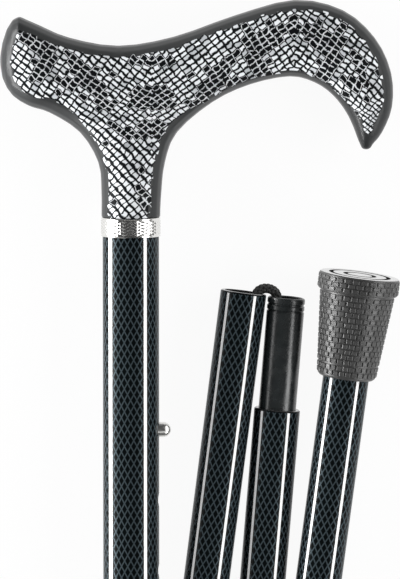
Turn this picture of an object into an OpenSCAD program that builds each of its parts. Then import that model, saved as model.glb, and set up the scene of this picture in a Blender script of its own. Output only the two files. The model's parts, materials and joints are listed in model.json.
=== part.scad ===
// Folding walking cane, folded and fanned out flat on a table.
// Every section is drawn straight below the handle, and then folded about its own hinge line.

/* [Tubes] */
// Outer diameter of the upper tube under the handle
upper_d = 22; // [22:0.1:22.6]
// Wall of the upper tube
upper_wall = 1.2; // [1.1:0.05:1.2]
// Outer diameter of the telescoping shaft and of the lower sections
shaft_d = 18; // [17.6:0.1:18]
// Wall of the shaft and of the lower sections
shaft_wall = 1.58; // [1.5:0.02:1.6]
// Length of the upper tube below its collar
upper_l = 170; // [168:1:172]
// Distance from the collar to the mouth of the telescoping shaft
shaft_drop = 233.7; // [233:0.1:238]
// Length of the telescoping shaft
shaft_l = 197; // [194:1:199]
// Visible tube length of the second and third sections
section_l = 170; // [165:1:172]
// Height of the knurled collar
collar_h = 7.4; // [6:0.2:8]

/* [Spigots] */
// Length of a spigot outside its tube
spigot_l = 44; // [42:0.5:44]
// Length of a spigot inside its own tube
spigot_root = 30; // [20:1:40]
// Diameter of a spigot
spigot_d = 14.7; // [14.6:0.02:14.7]
// Bore of a spigot, which the elastic cord runs through
spigot_bore = 12.2; // [12.2:0.1:12.4]
// Length of the ringed cap on a spigot's tip
cap_l = 5.6; // [5:0.2:8]

/* [Folds] */
// Turn of each fold from straight to folded
fold_turn = [172.7, 177.4, 177.3]; // [172.5:0.1:178]
// Distance from a section's axis to its hinge line
hinge_off = 8.45; // [8.4:0.05:8.8]
// How far the hinge line lies outside the mouth
hinge_out = 0.3; // [0.2:0.05:0.6]
// Gap between a mouth and the next spigot's tip when pulled apart in line
pull_gap = 1; // [0.8:0.1:1.4]

/* [Elastic cord] */
// Diameter of the cord
cord_d = 3.4; // [3:0.1:3.5]
// Distance from a section's axis to the cord where it leaves the mouth
cord_at_mouth = 5; // [4.8:0.1:5]
// Distance from a section's axis to the cord where it enters the spigot
cord_at_tip = 3.8; // [3.6:0.1:4]
// Height of the cord's loop over a fold
loop_h = 3.3; // [3.3:0.1:4]
// Depth inside the mouth at which the loop starts
loop_deep = 1.2; // [1:0.1:1.2]

/* [Height setting] */
// Distance from the collar to the first adjusting hole
hole_first = 76; // [74:1:78]
// Distance from one adjusting hole to the next
hole_pitch = 28; // [25:0.5:28]
// Number of adjusting holes
hole_count = 4; // [2:1:4]
// Diameter of an adjusting hole
hole_d = 6; // [5.5:0.1:6]
// How far the button stands out of the upper tube
button_out = 4.6; // [4:0.1:5]

/* [Handle] */
// Thickness of the handle
handle_t = 26; // [25:0.5:28]
// Depth of the stem in the handle
stem_depth = 40; // [30:1:42]
// Diameter of the stem in the handle
stem_d = 12; // [10:0.5:13]

/* [Ferrule] */
// Distance from the last spigot's tip to the sole
foot_l = 226; // [222:1:230]
// Height of the rubber ferrule
ferrule_l = 40.5; // [38:0.5:44]
// Diameter of the ferrule's rim
rim_d = 31.2; // [31:0.2:33]
// Height of the ferrule's rim
rim_h = 6.75; // [5:0.25:8]
// Diameter of the ferrule just above its rim
cone_d = 28.8; // [28:0.2:30]
// Diameter of the ferrule at its mouth
mouth_d = 22.6; // [22.4:0.2:24]
// Thickness of the rubber under the tube
sole_t = 9; // [7:0.5:12]

/* [Hidden] */
$fn = 64;

// Radii that fit each other
upper_r = upper_d / 2;
upper_bore_r = upper_r - upper_wall;
shaft_r = shaft_d / 2;
shaft_bore_r = shaft_r - shaft_wall;
spigot_r = spigot_d / 2;
spigot_bore_r = spigot_bore / 2;
running_gap = 0.06;
glue_gap = 0.04;
// Gaps between faces that stand on each other, and under the handle
seat_gap = 0.02;
end_gap = 0.1;
// Bevels at the edges, and the length that a cut runs past a face
edge = 0.4;
chamfer = 1;
cut = 1;

// Heights along the straight cane: the collar's lower edge is 0, and the cane runs down from it
mouth_1 = -shaft_drop;
shaft_top = mouth_1 + shaft_l;
reach = spigot_l + section_l;
washer_t = 1.2;
foot_tube_end = sole_t + washer_t + end_gap;
function mouth(k) = k == 1 ? mouth_1 : tip(k) - reach;
function tip(k) = mouth(k - 1) - pull_gap;
sole = tip(4) - foot_l;

// Hinge lines: they lie to the right, to the left and to the right of the straight cane
function side(k) = k == 2 ? -1 : 1;
function hinge(k) = [side(k) * hinge_off, mouth(k) - hinge_out, 0];

// Slopes that lay the folded sections on the table, with the handle on its side
slope_2 = -asin((handle_t / 2 - shaft_r) / reach);
slope_4 = asin((rim_d / 2 - shaft_r) / foot_l);
fold_lean = [slope_2 / 2, slope_2 / 2, slope_4 / 2];

// Turns about X and Z for points, which the frame's centre needs
function about_x(p, a) = [p.x, p.y * cos(a) - p.z * sin(a), p.y * sin(a) + p.z * cos(a)];
function about_z(p, a) = [p.x * cos(a) - p.y * sin(a), p.x * sin(a) + p.y * cos(a), p.z];
function turned(p, lean, turn) = about_x(about_z(about_x(p, -lean), turn), lean);
function folded_once(p, k) =
  hinge(k) + turned(p - hinge(k), fold_lean[k - 1], side(k) * fold_turn[k - 1]);
function folded(p, k) = k == 0 ? p : folded(folded_once(p, k), k - 1);

// Handle stations: [low point, high point, half thickness, roundness], from the collar's upper edge
neck_left = [-19.8, 33.1];
neck_right = [18.1, 33.1];
saddle = [-4.8, 66.8];
half_t = handle_t / 2;
neck_r = 11.5;
flat_n = 2.3;
neck_knots = [
  [[-neck_r, 0], [neck_r, 0], neck_r, 2],
  [[-11.5, 10], [12, 10], 11.6, 2.05],
  [[-12.7, 21.5], [13.4, 21.5], 12.2, 2.2],
  [neck_left, neck_right, half_t, flat_n]
];
butt_knots = [
  [neck_left, saddle, half_t, flat_n],
  [[-31.3, 40.6], [-24, 70], half_t, flat_n],
  [[-38.5, 42.9], [-35.5, 74.8], half_t - 0.4, flat_n],
  [[-43.2, 45.3], [-43.2, 78.2], half_t - 1.2, flat_n]
];
nose_knots = [
  [neck_right, saddle, half_t, flat_n],
  [[32, 44.9], [16.8, 70.3], half_t, flat_n],
  [[46.5, 51.7], [40.3, 78.5], half_t, flat_n],
  [[61.8, 54.8], [63.7, 84.6], half_t - 0.2, flat_n],
  [[71.5, 52.5], [82.5, 80.6], half_t - 0.6, flat_n],
  [[78.5, 47.7], [95, 69.8], half_t - 1.2, flat_n],
  [[83.6, 41.3], [101.3, 56.5], half_t - 2.2, flat_n],
  [[86.6, 35.3], [101.8, 43.2], half_t - 3.8, flat_n],
  [[88.4, 30.5], [97.9, 33.1], half_t - 6.5, flat_n],
  [[89.7, 27.6], [93.9, 28.1], half_t - 9.2, flat_n]
];
// One knot past each end, which gives the arms their direction there
neck_before = [[-neck_r, -10], [neck_r, -10], neck_r, 2];
butt_after = [[-46.5, 47.3], [-50, 81.5], half_t - 2.5, flat_n];
nose_after = [[90.5, 25.6], [91.7, 25.7], half_t - 10.5, flat_n];
// How far the ends bulge, and the shape of their lower and upper corners: 1 is an ellipse, more is leaner
butt_bulge = 7.5;
butt_corners = [0.8, 1.3];
nose_bulge = 1.5;
nose_corners = [1, 1];
// How far the lower corner of an end rises beyond that shape, along the slope at which the arm arrives
butt_rise = 3.5;
nose_rise = 0;
knot_steps = 3;
cap_steps = 4;
last_step = 82;
ring_n = 24;
hub_steps = [0.02, 0.06, 0.14, 0.3, 0.6];
edge_w = neck_r;

// Steps along one loop of the cord
loop_n = 16;

// The frame's origin lies on the table, under the middle of the folded cane
sole_right = folded([-rim_d / 2, sole, 0], 3);
loop_low = min([for (i = [0:loop_n]) folded(loop_point(3, i / loop_n), 2).y]) - cord_d / 2;
frame_x = (sole_right.x + butt_knots[3][0].x - butt_bulge) / 2;
frame_y = (collar_h + nose_knots[3][1].y + loop_low) / 2;

// Colours
soft_grey = [0.3, 0.3, 0.31];
shell_black = [0.08, 0.09, 0.11];
plastic_black = [0.14, 0.14, 0.15];
steel = [0.78, 0.78, 0.76];
rubber_grey = [0.36, 0.36, 0.36];
cord_black = [0.12, 0.12, 0.12];

// Placing

module placed() translate([-frame_x, -frame_y, half_t]) children();

module fold(k) {
  translate(hinge(k))
    rotate([fold_lean[k - 1], 0, 0])
      rotate([0, 0, side(k) * fold_turn[k - 1]])
        rotate([-fold_lean[k - 1], 0, 0])
          translate(-hinge(k)) children();
}

module folds(k) {
  if (k == 0) children();
  else folds(k - 1) fold(k) children();
}

module on_section(k) placed() folds(k - 1) children();

// A revolved piece that stands on the height y, with its axis along the cane
module along(y) translate([0, y, 0]) rotate([-90, 0, 0]) children();

// Shapes that repeat

module pipe(low, high, r_out, r_in) {
  l = high - low;
  along(low) rotate_extrude()
    polygon([
      [r_in, 0], [r_out - edge, 0], [r_out, edge],
      [r_out, l - edge], [r_out - edge, l], [r_in, l]
    ]);
}

// A round bar between two points that lie in the plane of the fan
module bar(from, to, r) {
  way = to - from;
  translate(from)
    rotate([0, 0, -atan2(way.x, way.y)])
      rotate([-90, 0, 0]) cylinder(h = norm(way), r = r);
}

module side_hole(y, r) translate([0, y, 0]) rotate([0, 90, 0]) cylinder(h = upper_d, r = r);

// Handle: rings across three arms and a hub between them, whose height follows the way to the outline

// Curve through four knots in a row, from the second one to the third one
function curve(a, b, c, d, t) =
  let (m = (c - a) / 2, n = (d - b) / 2)
  b + m * t + (3 * (c - b) - 2 * m - n) * t * t + (2 * (b - c) + m + n) * t * t * t;

// A station as one row of numbers, and the stations of an arm from the knots and one knot past each end
function row(s) = [s[0].x, s[0].y, s[1].x, s[1].y, s[2], s[3]];
function span(s) = [s[2] - s[0], s[3] - s[1]];
function middle(s) = [s[0] + s[2], s[1] + s[3]] / 2;
function with_edge(s) = concat(s, min(edge_w, norm(span(s)) / 2));
function lofted(before, knots, after) =
  let (rows = concat([row(before)], [for (k = knots) row(k)], [row(after)]), last = len(rows) - 2)
  concat(
    [for (i = [1:last - 1], j = [0:knot_steps - 1])
      with_edge(curve(rows[i - 1], rows[i], rows[i + 1], rows[i + 2], j / knot_steps))],
    [with_edge(rows[last])]);

// Stations that round off an arm's end, which bulges to the left (1) or right (-1) of its last station
function bulge_out(s, bulge, turn) = turn * bulge * [-span(s).y, span(s).x] / norm(span(s));
function end_station(s, out, corners, rise, a) =
  let (c = middle(s) + out * sin(a), half = span(s) / 2,
       lifted = rise * sin(a) * cos(a) * span(s) / norm(span(s)),
       low = c - half * pow(cos(a), corners[0]) + lifted, high = c + half * pow(cos(a), corners[1]))
  [low.x, low.y, high.x, high.y, s[4], s[5], s[6]];
function with_end(rows, bulge, corners, rise, turn) =
  let (s = rows[len(rows) - 1], out = bulge_out(s, bulge, turn))
  concat(rows, [for (j = [1:cap_steps]) end_station(s, out, corners, rise, last_step * j / cap_steps)]);
function end_point(rows, bulge, turn) =
  let (s = rows[len(rows) - 1])
  concat(middle(s) + bulge_out(s, bulge, turn), [0]);

neck_after = [butt_knots[1][0], nose_knots[1][0], half_t, flat_n];
butt_before = [neck_knots[2][0], nose_knots[1][1], half_t, flat_n];
nose_before = [neck_knots[2][1], butt_knots[1][1], half_t, flat_n];
neck_rows = lofted(neck_before, neck_knots, neck_after);
butt_body = lofted(butt_before, butt_knots, butt_after);
nose_body = lofted(nose_before, nose_knots, nose_after);
butt_rows = with_end(butt_body, butt_bulge, butt_corners, butt_rise, 1);
nose_rows = with_end(nose_body, nose_bulge, nose_corners, nose_rise, -1);
butt_end = end_point(butt_body, butt_bulge, 1);
nose_end = end_point(nose_body, nose_bulge, -1);

// The outline from the neck's left foot round both arms to its right foot
function low_points(rows) = [for (s = rows) [s[0], s[1]]];
function high_points(rows) = [for (s = rows) [s[2], s[3]]];
function reversed(list) = [for (i = [len(list) - 1:-1:0]) list[i]];
outline = concat(
  low_points(neck_rows), low_points(butt_rows), [[butt_end.x, butt_end.y]],
  reversed(high_points(butt_rows)), high_points(nose_rows), [[nose_end.x, nose_end.y]],
  reversed(low_points(nose_rows)), reversed(high_points(neck_rows)));

// Height of the handle's face: an elliptic edge that ends in a flat middle
function to_segment(p, a, b) =
  let (way = b - a, l = way * way, t = l > 0 ? max(0, min(1, (p - a) * way / l)) : 0)
  norm(p - a - way * t);
function to_outline(p) = min([for (i = [0:len(outline) - 2]) to_segment(p, outline[i], outline[i + 1])]);
function crown(t, n) = t >= 1 ? 1 : pow(1 - pow(1 - max(t, 0), n), 1 / n);
function face_point(p, h, n, edge_l) = concat(p, [h * crown(to_outline(p) / edge_l, n)]);
function station_ring(s) = [
  for (i = [0:ring_n - 1])
    let (a = 360 * i / ring_n, p = middle(s) + span(s) / 2 * cos(a))
    i % half_n == 0 ? concat(p, [0])
    : let (f = face_point(p, s[4], s[5], s[6])) [f.x, f.y, sign(sin(a)) * f.z]];
hub_middle = (neck_left + neck_right + saddle) / 3;
function hub_point(p, step, up) =
  let (f = face_point([p.x, p.y] + (hub_middle - [p.x, p.y]) * step, half_t, flat_n, edge_w))
  [f.x, f.y, up * f.z];

// Numbers of the points: the rings of three arms, two end points, the hub's loops and its two tops
half_n = ring_n / 2;
hub_n = 3 * half_n;
neck_last = len(neck_rows) - 1;
butt_last = len(butt_rows) - 1;
nose_last = len(nose_rows) - 1;
butt_at = len(neck_rows) * ring_n;
nose_at = butt_at + len(butt_rows) * ring_n;
ends_at = nose_at + len(nose_rows) * ring_n;
hub_at = ends_at + 2;
hub_loops = len(hub_steps);
hub_tops = hub_at + 2 * hub_loops * hub_n;
function neck_i(r, i) = r * ring_n + i % ring_n;
// The first ring of each arm shares its corner points with the neck and with the other arm
function butt_i(r, i) = r == 0 && i % ring_n == half_n
  ? neck_i(neck_last, half_n) : butt_at + r * ring_n + i % ring_n;
function nose_i(r, i) = r > 0 ? nose_at + r * ring_n + i % ring_n
  : i % ring_n == half_n ? neck_i(neck_last, 0)
  : i % ring_n == 0 ? butt_i(0, 0) : nose_at + i % ring_n;
// Walk round the hub's edge on the front face (up = 1) or the back face (up = -1)
function hub_edge(j, up) =
  j < half_n ? neck_i(neck_last, ring_n + up * j)
  : j < 2 * half_n ? butt_i(0, ring_n + up * (hub_n - half_n - j))
  : nose_i(0, ring_n + up * (j - 2 * half_n));
function hub_i(face, loop, j) =
  loop == 0 ? hub_edge(j % hub_n, face == 0 ? 1 : -1)
  : hub_at + (face * hub_loops + loop - 1) * hub_n + j % hub_n;

// Triangles of a quad, of a tube of rings, of its closed end, and of one face of the hub
function quad(a, b, c, d) = [[a, b, c], [a, c, d]];
function flip(faces) = [for (f = faces) [f[2], f[1], f[0]]];
function tube_faces(at, rings, sides) = [
  for (r = [0:rings - 1], i = [0:sides - 1])
    each quad(at(r, i), at(r, i + 1), at(r + 1, i + 1), at(r + 1, i))];
function end_faces(at, r, tip) = [for (i = [0:ring_n - 1]) [at(r, i), at(r, i + 1), tip]];
function hub_faces(face) = concat(
  [for (l = [0:hub_loops - 1], j = [0:hub_n - 1])
    each quad(hub_i(face, l, j), hub_i(face, l, j + 1), hub_i(face, l + 1, j + 1), hub_i(face, l + 1, j))],
  [for (j = [0:hub_n - 1]) [hub_i(face, hub_loops, j), hub_i(face, hub_loops, j + 1), hub_tops + face]]);

module handle_loft() {
  rings = [for (s = concat(neck_rows, butt_rows, nose_rows)) each station_ring(s)];
  loops = [
    for (up = [1, -1], step = hub_steps, j = [0:hub_n - 1])
      hub_point(rings[hub_edge(j, up)], step, up)];
  tops = [for (up = [1, -1]) hub_point(hub_middle, 0, up)];
  neck_at = function(r, i) neck_i(r, i);
  butt_ring = function(r, i) butt_i(r, i);
  nose_ring = function(r, i) nose_i(r, i);
  polyhedron(
    concat(rings, [butt_end, nose_end], loops, tops),
    concat(
      tube_faces(neck_at, neck_last, ring_n),
      flip(end_faces(neck_at, 0, 0)),
      tube_faces(butt_ring, butt_last, ring_n),
      end_faces(butt_ring, butt_last, ends_at),
      flip(tube_faces(nose_ring, nose_last, ring_n)),
      flip(end_faces(nose_ring, nose_last, ends_at + 1)),
      hub_faces(0),
      flip(hub_faces(1))));
}

stem_room = 0.5;
module handle_body() color(soft_grey) on_section(1) difference() {
  translate([0, collar_h, 0]) handle_loft();
  along(collar_h - cut) cylinder(h = cut + stem_depth + stem_room, r = stem_d / 2 + glue_gap);
}

// Plug in the upper tube with a stem that goes up into the handle
stem_plug_l = 26;
module handle_stem() color(plastic_black) on_section(1) along(-stem_plug_l)
  rotate_extrude() let (
    plug_r = upper_bore_r - glue_gap, plug_top = stem_plug_l + collar_h - end_gap,
    stem_r = stem_d / 2, stem_top = stem_plug_l + collar_h + stem_depth
  ) polygon([
    [0, 0], [plug_r - chamfer, 0], [plug_r, chamfer], [plug_r, plug_top], [stem_r, plug_top],
    [stem_r, stem_top - chamfer], [stem_r - chamfer, stem_top], [0, stem_top]
  ]);

// Bright sleeve over the joint between the handle and the upper tube, with a bead at each edge
collar_t = 0.6;
bead = 0.15;
module collar_ring() color(steel) on_section(1) along(0) rotate_extrude()
  let (r = upper_r + glue_gap, top = collar_h - end_gap)
  polygon([
    [r, 0], [r + collar_t - bead, 0], [r + collar_t, bead], [r + collar_t, 3 * bead],
    [r + collar_t - bead, 4 * bead], [r + collar_t - bead, top - 4 * bead],
    [r + collar_t, top - 3 * bead], [r + collar_t, top - bead], [r + collar_t - bead, top], [r, top]
  ]);

module outer_tube() color(shell_black) on_section(1) difference() {
  pipe(-upper_l, collar_h - end_gap, upper_r, upper_bore_r);
  for (i = [0:hole_count - 1]) side_hole(-hole_first - i * hole_pitch, hole_d / 2);
}

// Plastic bush in the upper tube's lower end, with a lip that closes the end
lip_h = 4;
bush_l = 6;
module guide_collar() color(plastic_black) on_section(1) along(-upper_l - lip_h)
  rotate_extrude() let (r = shaft_r + running_gap, top = lip_h + bush_l) polygon([
    [r + edge, 0], [upper_r - chamfer, 0], [upper_r, chamfer], [upper_r, lip_h - edge],
    [upper_r - edge, lip_h], [upper_bore_r - glue_gap, lip_h], [upper_bore_r - glue_gap, top],
    [r, top], [r, edge]
  ]);

module inner_tube() color(shell_black) on_section(1) difference() {
  pipe(mouth_1, shaft_top, shaft_r, shaft_bore_r);
  side_hole(-hole_first, hole_d / 2);
}

// Bush on the shaft's upper end that slides in the upper tube
bush_h = 5;
bush_plug_l = 14;
bush_bore_r = 4;
module top_bush() color(plastic_black) on_section(1) along(shaft_top - bush_plug_l)
  rotate_extrude() let (
    r = upper_bore_r - running_gap, plug_r = shaft_bore_r - glue_gap,
    seat = bush_plug_l + seat_gap, top = bush_plug_l + bush_h
  ) polygon([
    [bush_bore_r, 0], [plug_r, 0], [plug_r, seat], [r, seat],
    [r, top - edge], [r - edge, top], [bush_bore_r, top]
  ]);

// Snap button: a domed pin with a flange that stops it inside the shaft
button_r = hole_d / 2 - running_gap;
flange_r = 4;
flange_x = 4.5;
flange_t = 1;
module adjust_button() color(steel) on_section(1) translate([flange_x, -hole_first, 0]) rotate([0, 90, 0])
  rotate_extrude() let (dome_at = upper_r + button_out - button_r - flange_x) union() {
    square([flange_r, flange_t]);
    square([button_r, dome_at]);
    translate([0, dome_at]) intersection() {
      circle(button_r);
      square(button_r);
    }
  }

// Leaf spring behind the button, bent over below it
leaf_t = 0.6;
leaf_w = 6;
leaf_top = 10;
leaf_front = flange_x - end_gap;
leaf_back = -6.3;
bend_drop = 22;
bend_r = (leaf_front - leaf_back) / 2;
module button_spring() color(steel) on_section(1)
  translate([leaf_front - bend_r, -hole_first - bend_drop, -leaf_w / 2]) linear_extrude(leaf_w) {
    difference() {
      circle(bend_r);
      circle(bend_r - leaf_t);
      translate([-bend_r, 0]) square(2 * bend_r);
    }
    for (x = [-bend_r, bend_r - leaf_t]) translate([x, 0]) square([leaf_t, bend_drop + leaf_top / 2]);
  }

// Elastic cord: one run in each section, and one loop round each fold
run_gap = 0.12;
anchor_top = -hole_first - 36;
anchor_l = 12;
anchor_hold = 7;
function run_top(k) = k == 1 ? [0, anchor_top - anchor_l + anchor_hold, 0]
  : [side(k - 1) * cord_at_tip, hinge(k - 1).y - loop_deep - run_gap, 0];
function run_low(k) = k == 4 ? [0, sole + foot_tube_end + anchor_l - anchor_hold, 0]
  : [side(k) * cord_at_mouth, hinge(k).y + loop_deep + run_gap, 0];

module cord_run(k) color(cord_black) on_section(k) bar(run_top(k), run_low(k), cord_d / 2);

// The loop leaves the mouth in half an ellipse, which bends with the fold, and enters the next spigot
loop_sides = 12;
function loop_point(k, t) =
  let (at_mouth = hinge_off - cord_at_mouth, at_tip = hinge_off - cord_at_tip,
       x = (at_tip - at_mouth) / 2 - (at_tip + at_mouth) / 2 * cos(180 * t),
       y = loop_deep - loop_h * sin(180 * t),
       bent = about_z([side(k) * x, y, 0], side(k) * (fold_turn[k - 1] - 180) * t))
  hinge(k) + about_x(bent, fold_lean[k - 1]);
function loop_ring(k, t) =
  let (up = about_x([0, 0, 1], fold_lean[k - 1]),
       way = loop_point(k, t + 1 / loop_n) - loop_point(k, t - 1 / loop_n),
       out = cross(up, way) / norm(way))
  [for (j = [0:loop_sides - 1])
    let (a = 360 * j / loop_sides)
    loop_point(k, t) + cord_d / 2 * (cos(a) * out + sin(a) * up)];

module cord_loop(k) color(cord_black) on_section(k) {
  at = function(r, i) r * loop_sides + i % loop_sides;
  first = [for (i = [0:loop_sides - 1]) at(0, i)];
  last = [for (i = [0:loop_sides - 1]) at(loop_n, i)];
  polyhedron(
    [for (i = [0:loop_n]) each loop_ring(k, i / loop_n)],
    concat(flip(tube_faces(at, loop_n, loop_sides)), [first, reversed(last)]));
}

// Plug that holds an end of the cord
module cord_anchor(k, low) color(plastic_black) on_section(k) difference() {
  pipe(low, low + anchor_l, shaft_bore_r - glue_gap, 0);
  bar(run_top(k), run_low(k), cord_d / 2 + glue_gap);
}

// Lower sections

module section_tube(k, low) color(shell_black) on_section(k)
  pipe(low, tip(k) - spigot_l, shaft_r, shaft_bore_r);

// Spigot with a turned-down tip that the cap fits over
tip_seat_r = spigot_r - 0.55;
cap_top_t = 1;
module spigot(k) color(plastic_black) on_section(k) along(tip(k) - spigot_l - spigot_root)
  rotate_extrude() let (l = spigot_root + spigot_l) polygon([
    [spigot_bore_r, 0], [spigot_r, 0], [spigot_r, l - cap_l], [tip_seat_r, l - cap_l],
    [tip_seat_r, l - cap_top_t], [spigot_bore_r, l - cap_top_t]
  ]);

// Cap on the spigot's tip: two rounded rings with a groove between them
cap_groove = 0.35;
cap_groove_h = 0.4;
cap_ring_h = 1.4;
cap_round = 0.9;
module spigot_cap(k) color(plastic_black) on_section(k) along(tip(k) - cap_l + seat_gap)
  rotate_extrude() let (
    r = spigot_r, groove_r = r - cap_groove, seat_r = tip_seat_r + seat_gap,
    low = 2 * cap_groove_h, high = low + cap_ring_h,
    top = cap_l - seat_gap, under = top - cap_top_t + 2 * seat_gap
  ) polygon([
    [seat_r, 0], [groove_r, 0], [groove_r, cap_groove_h], [r, low], [r, high],
    [groove_r, high + cap_groove_h], [groove_r, high + 2 * cap_groove_h], [r, high + 3 * cap_groove_h],
    for (a = [0:30:90]) [r - cap_round * (1 - cos(a)), top - cap_round * (1 - sin(a))],
    [spigot_bore_r + edge, top], [spigot_bore_r, top - edge], [spigot_bore_r, under], [seat_r, under]
  ]);

// Steel disc that keeps the tube from cutting through the rubber
module ferrule_washer() color(steel) on_section(4) along(sole + sole_t + seat_gap)
  cylinder(h = washer_t, r = shaft_r - running_gap);

// Rubber ferrule with a rim, a tapered shaft and ring grooves in its sole
groove_at = [4.8, 10.4];
groove_w = 1.75;
groove_deep = 1.2;
mouth_edge = 0.8;
module ferrule() color(rubber_grey) on_section(4) along(sole) difference() {
  rotate_extrude() let (rim_r = rim_d / 2, mouth_r = mouth_d / 2) polygon([
    [0, 0], [rim_r - edge, 0], [rim_r, edge], [rim_r, rim_h - edge], [rim_r - edge, rim_h],
    [cone_d / 2, rim_h], [mouth_r, ferrule_l - mouth_edge], [mouth_r - mouth_edge, ferrule_l], [0, ferrule_l]
  ]);
  translate([0, 0, sole_t]) cylinder(h = ferrule_l, r = shaft_r + glue_gap);
  for (r = groove_at) rotate_extrude()
    translate([r, -groove_deep]) square([groove_w, 2 * groove_deep]);
}

module cord_anchor_top() cord_anchor(1, anchor_top - anchor_l);
module cord_anchor_bottom() cord_anchor(4, sole + foot_tube_end);

handle_body();
handle_stem();
collar_ring();
outer_tube();
guide_collar();
inner_tube();
top_bush();
button_spring();
adjust_button();
cord_anchor_top();
for (k = [1:4]) cord_run(k);
for (k = [1:3]) cord_loop(k);
for (k = [2:3]) section_tube(k, mouth(k));
section_tube(4, sole + foot_tube_end);  // tube_4
for (k = [2:4]) spigot(k);
for (k = [2:4]) spigot_cap(k);
cord_anchor_bottom();
ferrule_washer();
ferrule();
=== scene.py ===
# %% [markdown]
# # A folding cane on a studio table
#
# The cane comes as finished solids: handle, collar, telescoping tubes, spigots, elastic cord and foot.
# Each solid already lies where the real piece lies, with the cane folded up and fanned out.
# This lesson gives the solids their looks, and adds the fine relief that is too small for a solid.

# %% Load the solids
import json
import math

import bmesh
import bpy
import numpy as np
from mathutils import Matrix, Vector
from mathutils.kdtree import KDTree


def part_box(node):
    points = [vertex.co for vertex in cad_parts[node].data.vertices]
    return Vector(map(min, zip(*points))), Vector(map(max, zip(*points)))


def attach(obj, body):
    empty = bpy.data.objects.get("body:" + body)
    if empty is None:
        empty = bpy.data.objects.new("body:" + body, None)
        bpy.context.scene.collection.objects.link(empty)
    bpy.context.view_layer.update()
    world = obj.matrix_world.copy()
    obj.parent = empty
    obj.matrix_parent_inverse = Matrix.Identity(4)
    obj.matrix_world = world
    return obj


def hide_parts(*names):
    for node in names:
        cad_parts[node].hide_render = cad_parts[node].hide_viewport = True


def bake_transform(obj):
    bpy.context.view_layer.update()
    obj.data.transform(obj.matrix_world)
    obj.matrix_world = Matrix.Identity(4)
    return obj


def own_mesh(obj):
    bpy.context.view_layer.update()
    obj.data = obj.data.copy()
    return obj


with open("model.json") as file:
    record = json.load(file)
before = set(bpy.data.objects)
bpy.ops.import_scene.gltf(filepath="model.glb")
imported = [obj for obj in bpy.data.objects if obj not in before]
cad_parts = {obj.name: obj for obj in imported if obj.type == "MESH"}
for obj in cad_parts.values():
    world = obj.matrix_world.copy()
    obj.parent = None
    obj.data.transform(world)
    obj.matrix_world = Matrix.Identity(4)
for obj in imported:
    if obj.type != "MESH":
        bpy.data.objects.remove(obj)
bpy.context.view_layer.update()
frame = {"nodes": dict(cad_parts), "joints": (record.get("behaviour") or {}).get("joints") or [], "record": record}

scene = bpy.context.scene
nodes = frame["nodes"]
joints = {joint["name"]: joint for joint in frame["joints"]}
mounts = {mount["name"]: mount for mount in frame["record"]["mounts"]}
mm = 0.001

# %% [markdown]
# ## Where each section lies
#
# A cane folds into four sections, and each lies at its own slant.
# Patterns that run along a tube need a frame of their own on that tube.
# We could turn each tube upright first, but then it would leave its place, so we keep a matrix instead.


# %% Frames of the four sections
def middle_of(node):
    """Middle of a solid's box. For a straight tube this point lies on its axis."""
    low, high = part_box(node)
    return (low + high) / 2


def lying_frame(origin, axis):
    """Frame on a lying section: y runs along it towards the handle's end, and z looks up from the table."""
    y = Vector(axis).normalized()
    y = y if y.y > 0 else -y
    x = y.cross(Vector((0, 0, 1))).normalized()
    turn = Matrix((x, y, x.cross(y))).transposed()
    return Matrix.Translation(origin) @ turn.to_4x4()


section_frames = {
    1: lying_frame(middle_of("outer_tube"), (0, 1, 0)),
    2: lying_frame(middle_of("tube_2"), joints["seat_2"]["axis"]),
    3: lying_frame(middle_of("tube_3"), joints["seat_3"]["axis"]),
    4: lying_frame(middle_of("tube_4"), mounts["sole"]["axis"]),
}
for number, section in section_frames.items():
    slant = math.degrees(math.atan2(section[0][1], section[1][1]))
    print(f"section {number} leans {slant:.1f} degrees to the right")

# %% [markdown]
# ## Wiring nodes in few words
#
# Finishes and repeated relief are both made with nodes, and a tree of nodes is long to write out.
# A small class keeps that short: one call adds a node and feeds its sockets with numbers or links.


# %% Adding nodes to a tree
class Wiring:
    """Adds nodes to a tree and feeds their sockets."""

    def __init__(self, tree):
        self.tree = tree

    def feed(self, socket, value):
        if isinstance(value, bpy.types.NodeSocket):
            self.tree.links.new(value, socket)
        else:
            socket.default_value = value

    def node(self, kind, inputs=None, **settings):
        made = self.tree.nodes.new(kind)
        for name, value in settings.items():
            setattr(made, name, value)
        for name, value in (inputs or {}).items():
            self.feed(made.inputs[name], value)
        return made

    def in_order(self, kind, values, **settings):
        """Adds a node whose first sockets take the values in turn, and gives its first output."""
        made = self.node(kind, **settings)
        for socket, value in zip(made.inputs, values):
            self.feed(socket, value)
        return made.outputs[0]

    def math(self, operation, *values):
        return self.in_order("ShaderNodeMath", values, operation=operation)

    def vector(self, operation, *values):
        return self.in_order("ShaderNodeVectorMath", values, operation=operation)

    def scaled(self, vector, factor):
        sockets = {"Vector": vector, "Scale": factor}
        return self.node("ShaderNodeVectorMath", sockets, operation="SCALE").outputs[0]

    def length(self, vector):
        return self.node("ShaderNodeVectorMath", {"Vector": vector}, operation="LENGTH").outputs["Value"]

    def split(self, vector):
        return self.node("ShaderNodeSeparateXYZ", {"Vector": vector}).outputs

    def join(self, x, y, z):
        return self.node("ShaderNodeCombineXYZ", {"X": x, "Y": y, "Z": z}).outputs[0]


print("wiring ready")

# %% [markdown]
# ## A finish
#
# A finish is a material with one Principled shader, and patterns feed the shader's sockets.
# A pattern reads Object coordinates in millimetres, so a number in it is a size on the cane.
# A value that is the same all over goes straight on the shader's own socket.


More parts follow.
